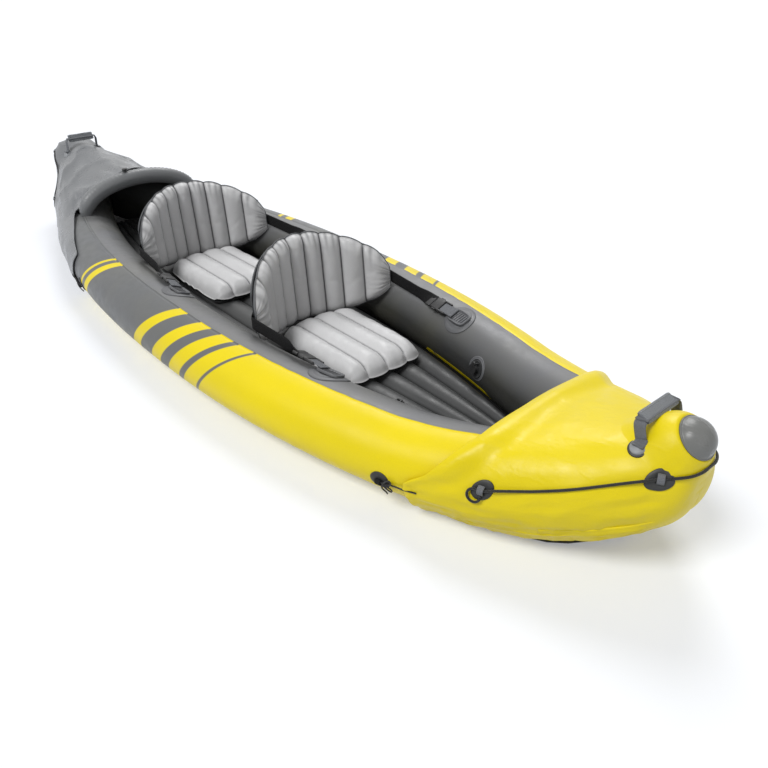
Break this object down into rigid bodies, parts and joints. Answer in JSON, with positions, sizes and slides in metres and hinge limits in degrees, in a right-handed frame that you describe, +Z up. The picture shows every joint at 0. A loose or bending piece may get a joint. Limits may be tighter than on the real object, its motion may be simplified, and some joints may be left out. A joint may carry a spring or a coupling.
{
  "type": "tandem inflatable kayak",
  "caption": "Tandem inflatable kayak with side chambers, channelled floor, bow and stern covers, reclining strapped seats, carry handles, grab lines and capped valves.",
  "frame": {"origin": "on the ground under the middle of the hull", "axes": "+X towards the bow, +Y to port, +Z up"},
  "size_m": [3.12, 0.9096, 0.3605],
  "materials": {
    "hull_pvc": "satin yellow vinyl, grey inboard and aft",
    "floor_pvc": "satin dark grey vinyl",
    "bottom_pvc": "matt black vinyl",
    "cover_yellow": "glossy yellow coated fabric",
    "cover_grey": "satin grey coated fabric",
    "cap_grey": "moulded grey plastic",
    "black_plastic": "moulded black plastic",
    "grey_webbing": "woven grey webbing",
    "cord": "braided black cord",
    "valve_grey": "moulded dark grey plastic",
    "base_fabric": "black woven base panel",
    "seat_pvc": "light grey vinyl with welded seams",
    "panel_grey": "satin dark grey vinyl",
    "webbing_black": "woven black webbing",
    "patch_grey": "welded grey vinyl patch"
  },
  "bodies": {
    "hull": {"starboard_chamber": "hull_pvc", "port_chamber": "hull_pvc", "floor_chamber": "floor_pvc", "bottom_sheet": "bottom_pvc", "bow_cover": "cover_yellow", "bow_nose_collar": "cover_yellow", "bow_nose_cap": "cap_grey", "stern_cover": "cover_grey", "stern_hoop": "cover_grey", "hoop_valve_stem": "valve_grey", "floor_valve_seat": "valve_grey", "bow_handle_tabs": "black_plastic", "bow_line_patches": "black_plastic", "bow_grab_line": "cord", "bow_tie_patches": "black_plastic", "bow_cover_ties": "cord", "stern_handle_tabs": "black_plastic", "stern_line_patches": "black_plastic", "stern_grab_line": "cord", "stern_tie_patches": "black_plastic", "stern_cover_ties": "cord", "port_valve_seat": "valve_grey", "starboard_valve_seat": "valve_grey", "front_seat_base": "base_fabric", "front_cushion": "seat_pvc", "front_buckles": "black_plastic", "front_anchor_tabs": "grey_webbing", "front_anchor_patches": "patch_grey", "front_anchor_pads": "cap_grey", "front_port_strap": "webbing_black", "front_starboard_strap": "webbing_black", "rear_seat_base": "base_fabric", "rear_cushion": "seat_pvc", "rear_buckles": "black_plastic", "rear_anchor_tabs": "grey_webbing", "rear_anchor_patches": "patch_grey", "rear_anchor_pads": "cap_grey", "rear_port_strap": "webbing_black", "rear_starboard_strap": "webbing_black"},
    "front_back": {"front_backrest": "seat_pvc", "front_back_panel": "panel_grey"},
    "rear_back": {"rear_backrest": "seat_pvc", "rear_back_panel": "panel_grey"},
    "bow_bail": {"bow_handle_strap": "grey_webbing", "bow_handle_grip": "grey_webbing"},
    "stern_bail": {"stern_handle_strap": "grey_webbing", "stern_handle_grip": "grey_webbing"},
    "port_cap": {"port_valve_cap": "valve_grey"},
    "starboard_cap": {"starboard_valve_cap": "valve_grey"},
    "floor_cap": {"floor_valve_cap": "valve_grey"},
    "hoop_plug": {"hoop_valve_plug": "valve_grey"}
  },
  "joints": [
    {"name": "front_back_recline", "type": "hinge", "parent": "hull", "child": "front_back", "pos_m": [0.2256, 0, 0.0813], "axis": [0, 1, 0], "range_deg": [-25, 0], "deforming": ["front_port_strap", "front_starboard_strap"]},
    {"name": "rear_back_recline", "type": "hinge", "parent": "hull", "child": "rear_back", "pos_m": [-0.4764, 0, 0.0813], "axis": [0, 1, 0], "range_deg": [-25, 0], "deforming": ["rear_port_strap", "rear_starboard_strap"]},
    {"name": "bow_handle_swing", "type": "hinge", "parent": "hull", "child": "bow_bail", "pos_m": [1.447, 0, 0.31641], "axis": [0, 1, 0], "range_deg": [-60, 10]},
    {"name": "stern_handle_swing", "type": "hinge", "parent": "hull", "child": "stern_bail", "pos_m": [-1.41, 0, 0.31791], "axis": [0, 1, 0], "range_deg": [-10, 35]},
    {"name": "port_cap_hinge", "type": "hinge", "parent": "hull", "child": "port_cap", "pos_m": [0.8482, 0.13638, 0.13748], "axis": [-0.974, 0.2264, 0], "range_deg": [0, 110]},
    {"name": "starboard_cap_hinge", "type": "hinge", "parent": "hull", "child": "starboard_cap", "pos_m": [0.8482, -0.13638, 0.13748], "axis": [0.974, 0.2264, 0], "range_deg": [0, 110]},
    {"name": "floor_cap_hinge", "type": "hinge", "parent": "hull", "child": "floor_cap", "pos_m": [-0.74859, -0.05794, 0.0833], "axis": [0, -1, 0], "range_deg": [0, 110]},
    {"name": "hoop_plug_hinge", "type": "hinge", "parent": "hull", "child": "hoop_plug", "pos_m": [-0.8825, -0.04242, 0.33139], "axis": [0, -0.9967, -0.0808], "range_deg": [0, 110]}
  ]
}
